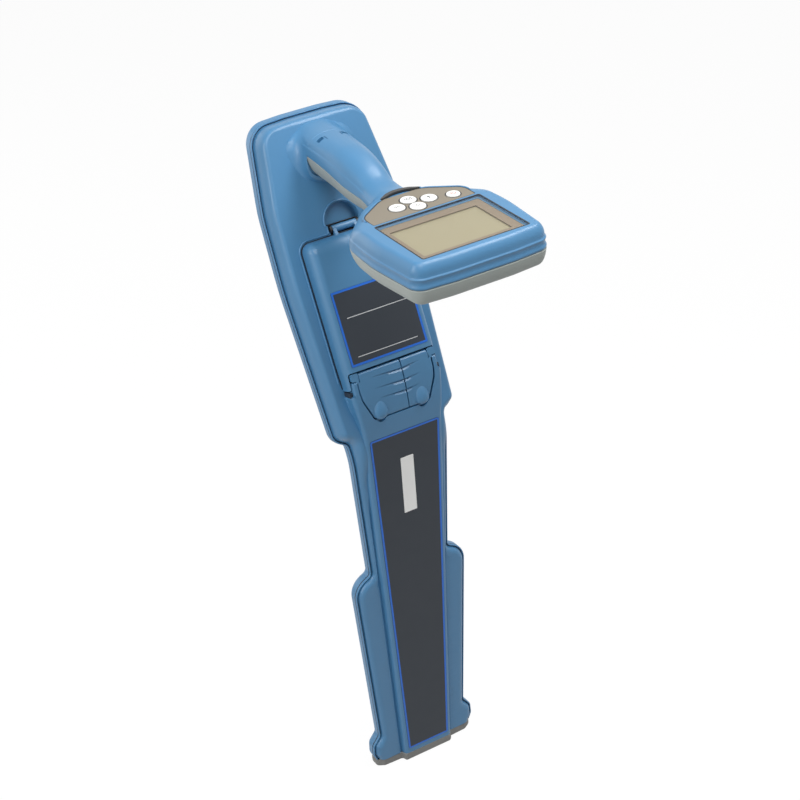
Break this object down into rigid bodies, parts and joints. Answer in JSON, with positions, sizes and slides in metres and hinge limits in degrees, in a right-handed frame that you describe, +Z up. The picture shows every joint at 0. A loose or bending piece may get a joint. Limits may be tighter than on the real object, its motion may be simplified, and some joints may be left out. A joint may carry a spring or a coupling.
{
  "type": "cable locator",
  "caption": "Hand-held buried cable locator: tall blue receiver blade with a leaning upper housing, pistol handle, tilted display head with keypad, and a latched battery door.",
  "frame": {"origin": "on the foot's flat underside, in the middle plane, 19 mm behind the foot's front", "axes": "+Z up the blade, the front with label, door and display faces -Y, +X to the right seen from behind the head"},
  "size_m": [0.1426, 0.3166, 0.6734],
  "materials": {
    "blue_plastic": "fine moulded texture, mid blue",
    "grey_plastic": "fine moulded texture, light grey",
    "foot_rubber": "matt grey rubber",
    "seal_rubber": "black rubber",
    "slate_film": "printed film, dark slate with a blue border",
    "white_film": "plain white sticker",
    "black_plastic": "black moulding",
    "steel": "plated steel",
    "cell_wrap": "plain dark wrap on metal cells",
    "clear_lens": "clear window",
    "display": "reflective liquid crystal, switched off",
    "keypad_film": "printed membrane",
    "dark_trim": "dark grey trim",
    "key_cap": "white caps",
    "silicone": "grey silicone",
    "circuit_board": "green laminate",
    "ferrite": "ferrite rod with a taped winding"
  },
  "bodies": {
    "housing": {"front_shell": "blue_plastic", "rear_shell": "blue_plastic", "shell_seal": "seal_rubber", "foot_bumper": "foot_rubber", "long_label": "slate_film", "id_strip": "white_film", "door_seal": "seal_rubber", "hinge_bracket": "black_plastic", "hinge_pin": "steel", "battery_tray": "black_plastic", "battery_cells": "cell_wrap", "leaf_contacts": "steel", "plate_contacts": "steel", "head_top_shell": "blue_plastic", "head_bottom_shell": "grey_plastic", "display_lens": "clear_lens", "lcd_panel": "display", "keypad_panel": "keypad_film", "keypad_band": "dark_trim", "key_mat": "silicone", "head_board": "circuit_board", "sounder": "black_plastic", "main_board": "circuit_board", "lower_antenna": "ferrite", "upper_antenna": "ferrite", "side_antennas": "ferrite", "housing_screws": "steel", "head_screws": "steel"},
    "door": {"battery_door": "blue_plastic", "door_label": "slate_film", "latch_pins": "steel"},
    "flap_left": {"latch_left": "blue_plastic"},
    "flap_right": {"latch_right": "blue_plastic"},
    "button_left": {"key_left": "key_cap"},
    "button_rear": {"key_rear": "key_cap"},
    "button_front": {"key_front": "key_cap"},
    "button_right": {"key_right": "key_cap"},
    "button_power": {"key_power": "key_cap"}
  },
  "joints": [
    {"name": "door_hinge", "type": "hinge", "parent": "housing", "child": "door", "pos_m": [0, 0.06641, 0.57404], "axis": [-1, 0, 0], "range_deg": [0, 50]},
    {"name": "flap_left_hinge", "type": "hinge", "parent": "door", "child": "flap_left", "pos_m": [0, -0.00412, 0.45833], "axis": [-1, 0, 0], "range_deg": [0, 45]},
    {"name": "flap_right_hinge", "type": "hinge", "parent": "door", "child": "flap_right", "pos_m": [0, -0.00412, 0.45833], "axis": [-1, 0, 0], "range_deg": [0, 45]},
    {"name": "press_left", "type": "slide", "parent": "housing", "child": "button_left", "axis": [0, 0, -1], "range_m": [0, 0.0008], "stiffness_N_per_m": 400},
    {"name": "press_rear", "type": "slide", "parent": "housing", "child": "button_rear", "axis": [0, 0, -1], "range_m": [0, 0.0008], "stiffness_N_per_m": 400},
    {"name": "press_front", "type": "slide", "parent": "housing", "child": "button_front", "axis": [0, 0, -1], "range_m": [0, 0.0008], "stiffness_N_per_m": 400},
    {"name": "press_right", "type": "slide", "parent": "housing", "child": "button_right", "axis": [0, 0, -1], "range_m": [0, 0.0008], "stiffness_N_per_m": 400},
    {"name": "press_power", "type": "slide", "parent": "housing", "child": "button_power", "axis": [0, 0, -1], "range_m": [0, 0.0008], "stiffness_N_per_m": 400}
  ]
}
